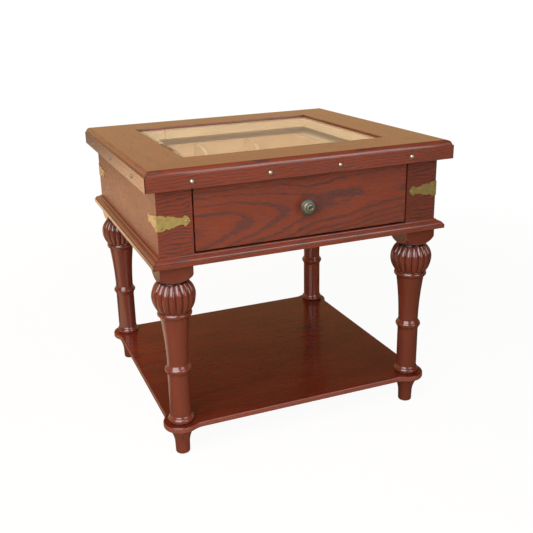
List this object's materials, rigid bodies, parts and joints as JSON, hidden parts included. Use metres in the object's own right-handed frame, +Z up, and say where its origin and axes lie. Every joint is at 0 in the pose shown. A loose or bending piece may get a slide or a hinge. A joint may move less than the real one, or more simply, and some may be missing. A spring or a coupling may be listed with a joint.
{
  "type": "humidor side table",
  "caption": "Dark oak humidor end table: hinged bevelled-glass lid over a cedar drawer with scooped dividers, brass corner straps, turned reeded legs and a lower shelf.",
  "frame": {"origin": "on the floor, under the middle of the table", "axes": "+X to the right as seen from the front, the drawer front faces -Y, +Z up"},
  "size_m": [0.6152, 0.5652, 0.57],
  "materials": {
    "stained_oak": "mahogany-stained oak under satin lacquer, open grain",
    "cedar": "bare planed cedar",
    "brass": "aged satin brass",
    "aged_brass": "dark antique patina with rubbed rims",
    "steel": "zinc plated",
    "glass": "clear float glass, bevelled edge",
    "black_plastic": "fine moulded texture",
    "pad": "open-cell foam"
  },
  "bodies": {
    "table": {"leg_front_left": "stained_oak", "leg_front_right": "stained_oak", "leg_back_left": "stained_oak", "leg_back_right": "stained_oak", "foot_front_left": "stained_oak", "foot_front_right": "stained_oak", "foot_back_left": "stained_oak", "foot_back_right": "stained_oak", "shelf": "stained_oak", "carcass_bottom": "stained_oak", "back_panel": "stained_oak", "base_moulding_front": "stained_oak", "base_moulding_right": "stained_oak", "base_moulding_back": "stained_oak", "base_moulding_left": "stained_oak", "side_panel_right": "stained_oak", "side_panel_left": "stained_oak", "stile_right": "stained_oak", "stile_left": "stained_oak", "slide_panel_right": "cedar", "slide_panel_left": "cedar", "ledge_right": "cedar", "ledge_left": "cedar", "slide_channel_right": "steel", "slide_channel_left": "steel", "ledge_back": "cedar", "corner_bracket_front_left": "brass", "corner_bracket_front_right": "brass", "corner_bracket_back_left": "brass", "corner_bracket_back_right": "brass", "bracket_nails": "brass", "leg_bolts": "steel", "leg_studs": "steel", "box_hinge_leaves": "brass", "hinge_pins": "brass"},
    "lid": {"lid_rail_front": "stained_oak", "lid_rail_right": "stained_oak", "lid_rail_back": "stained_oak", "lid_rail_left": "stained_oak", "lid_glass": "glass", "glazing_beads": "cedar", "lid_nails": "brass", "lid_hinge_leaves": "brass"},
    "drawer": {"drawer_front": "stained_oak", "drawer_lining": "cedar", "drawer_back": "cedar", "drawer_bottom": "cedar", "drawer_side_right": "cedar", "drawer_side_left": "cedar", "divider_right": "cedar", "divider_left": "cedar", "slide_runner_right": "steel", "slide_runner_left": "steel", "knob": "aged_brass", "knob_screw": "steel", "humidifier_case": "black_plastic", "humidifier_pad": "pad"},
    "slide_cages": {"ball_cages": "steel"}
  },
  "joints": [
    {"name": "lid_hinge", "type": "hinge", "parent": "table", "child": "lid", "pos_m": [0, 0.262, 0.5315], "axis": [-1, 0, 0], "range_deg": [0, 95]},
    {"name": "drawer_slide", "type": "slide", "parent": "table", "child": "drawer", "axis": [0, -1, 0], "range_m": [0, 0.3]},
    {"name": "cage_slide", "type": "slide", "parent": "table", "child": "slide_cages", "axis": [0, -1, 0], "range_m": [0, 0.15]}
  ],
  "couplings": [
    {"joint": "cage_slide", "follows": "drawer_slide", "ratio": 0.5}
  ]
}
